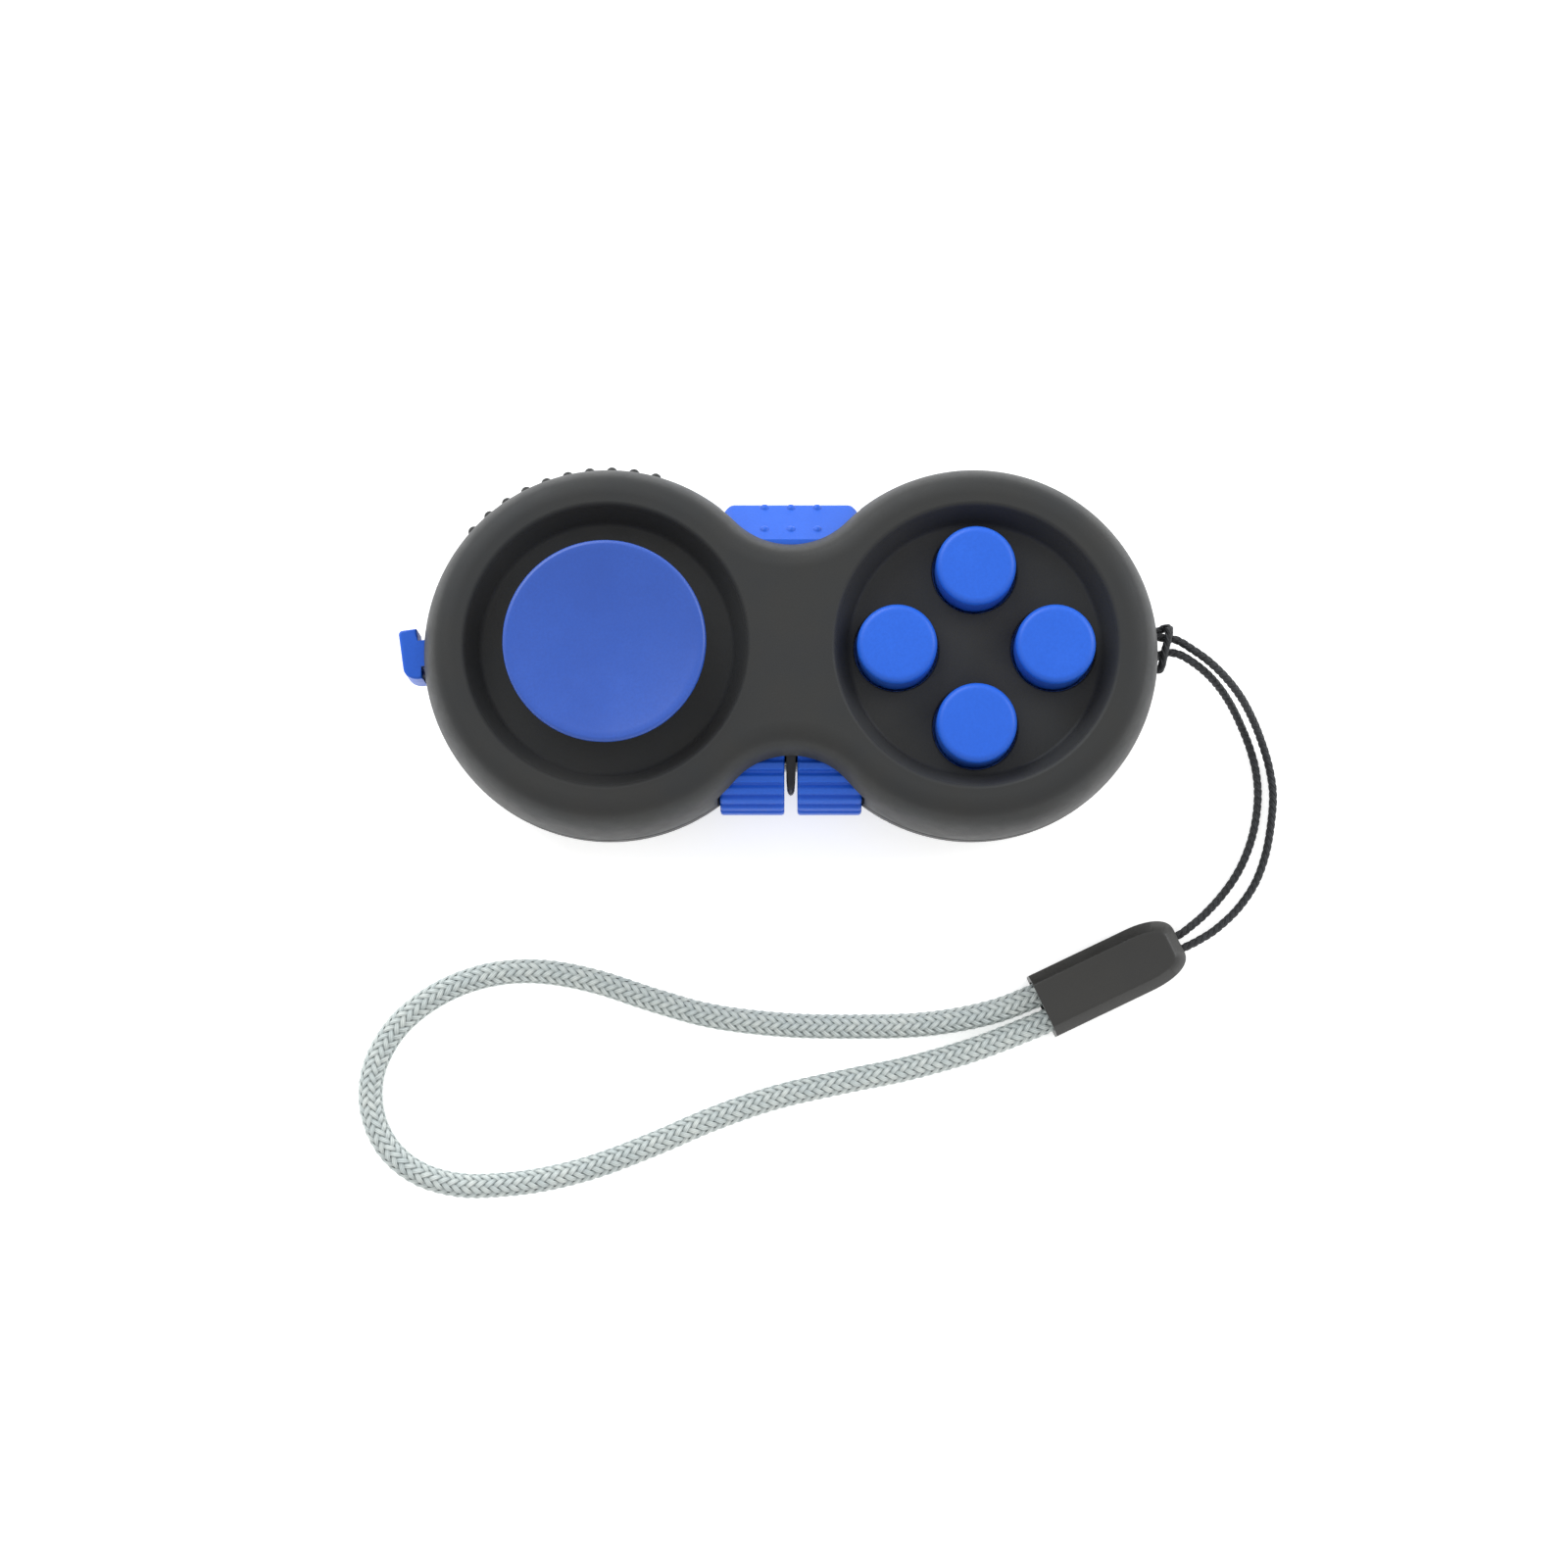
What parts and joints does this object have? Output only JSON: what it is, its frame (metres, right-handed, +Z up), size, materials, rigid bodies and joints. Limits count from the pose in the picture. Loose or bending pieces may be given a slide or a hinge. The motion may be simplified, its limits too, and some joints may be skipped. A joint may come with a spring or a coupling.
{
  "type": "fidget pad",
  "caption": "Two-lobed hand-held fidget pad with a glide stick, buttons, rocker, ribbed rollers, flip lever, back dial and a braided wrist lanyard.",
  "frame": {"origin": "on the flat rest face at z = 0, under the middle of the waist", "axes": "+Z up out of the face, +X along the body from the glide stick's lobe to the buttons' lobe, +Y towards the rocker"},
  "size_m": [0.1085, 0.0843, 0.0253],
  "materials": {
    "soft_black": "soft-touch black coating with a fine satin grain",
    "blue": "moulded blue plastic, satin",
    "pale_plastic": "natural moulded plastic, inside the body",
    "steel": "plated steel",
    "silicone": "matt grey silicone",
    "clip_black": "moulded black plastic, fine grain",
    "string_black": "black braided nylon string",
    "cord_grey": "silver-grey braided polyester cord"
  },
  "bodies": {
    "pad_body": {"top_shell": "soft_black", "bottom_shell": "soft_black", "shell_screw_1": "steel", "shell_screw_2": "steel", "shell_screw_3": "steel", "shell_screw_4": "steel", "guide_plate": "pale_plastic", "guide_screw_1": "steel", "guide_screw_2": "steel", "guide_screw_3": "steel", "button_east_dome": "silicone", "button_north_dome": "silicone", "button_west_dome": "silicone", "button_south_dome": "silicone", "button_carrier": "pale_plastic", "carrier_screw_1": "steel", "carrier_screw_2": "steel", "carrier_screw_3": "steel", "rocker_pin": "steel", "rocker_leaf": "steel", "roller_axle": "steel", "flip_pin": "steel", "flip_leaf": "steel", "lanyard_hitch": "string_black", "strand_outer": "string_black", "strand_inner": "string_black", "cord_clip": "clip_black", "wrist_loop": "cord_grey"},
    "cross_slide": {"cross_slide": "pale_plastic"},
    "stick": {"stick_cap": "blue", "stick_retainer": "pale_plastic", "stick_screw": "steel"},
    "button_east": {"button_east_cap": "blue"},
    "button_north": {"button_north_cap": "blue"},
    "button_west": {"button_west_cap": "blue"},
    "button_south": {"button_south_cap": "blue"},
    "rocker": {"rocker": "blue"},
    "roller_left": {"roller_left": "blue"},
    "roller_right": {"roller_right": "blue"},
    "flip_lever": {"flip_lever": "blue"},
    "dial": {"spin_dial": "blue", "dial_washer": "steel", "dial_screw": "steel"}
  },
  "joints": [
    {"name": "stick_x", "type": "slide", "parent": "pad_body", "child": "cross_slide", "axis": [1, 0, 0], "range_m": [-0.002, 0.002]},
    {"name": "stick_y", "type": "slide", "parent": "cross_slide", "child": "stick", "axis": [0, 1, 0], "range_m": [-0.002, 0.002]},
    {"name": "button_east_press", "type": "slide", "parent": "pad_body", "child": "button_east", "axis": [0, 0, -1], "range_m": [0, 0.0012], "stiffness_N_per_m": 500, "springref_m": -0.0008, "deforming": ["button_east_dome"]},
    {"name": "button_north_press", "type": "slide", "parent": "pad_body", "child": "button_north", "axis": [0, 0, -1], "range_m": [0, 0.0012], "stiffness_N_per_m": 500, "springref_m": -0.0008, "deforming": ["button_north_dome"]},
    {"name": "button_west_press", "type": "slide", "parent": "pad_body", "child": "button_west", "axis": [0, 0, -1], "range_m": [0, 0.0012], "stiffness_N_per_m": 500, "springref_m": -0.0008, "deforming": ["button_west_dome"]},
    {"name": "button_south_press", "type": "slide", "parent": "pad_body", "child": "button_south", "axis": [0, 0, -1], "range_m": [0, 0.0012], "stiffness_N_per_m": 500, "springref_m": -0.0008, "deforming": ["button_south_dome"]},
    {"name": "rocker_rock", "type": "hinge", "parent": "pad_body", "child": "rocker", "pos_m": [0, 0.0096, 0.011], "axis": [1, 0, 0], "range_deg": [-8, 8], "stiffness_Nm_per_rad": 0.02},
    {"name": "roller_left_roll", "type": "hinge", "parent": "pad_body", "child": "roller_left", "pos_m": [-0.00445, -0.0124, 0.011], "axis": [1, 0, 0], "continuous": true},
    {"name": "roller_right_roll", "type": "hinge", "parent": "pad_body", "child": "roller_right", "pos_m": [0.00445, -0.0124, 0.011], "axis": [1, 0, 0], "continuous": true},
    {"name": "flip_lever_flip", "type": "hinge", "parent": "pad_body", "child": "flip_lever", "pos_m": [-0.0386, 0.0006, 0.011], "axis": [0, 0, -1], "range_deg": [0, 16]},
    {"name": "dial_spin", "type": "hinge", "parent": "pad_body", "child": "dial", "pos_m": [-0.02105, 0, 0.0021], "axis": [0, 0, 1], "continuous": true}
  ]
}
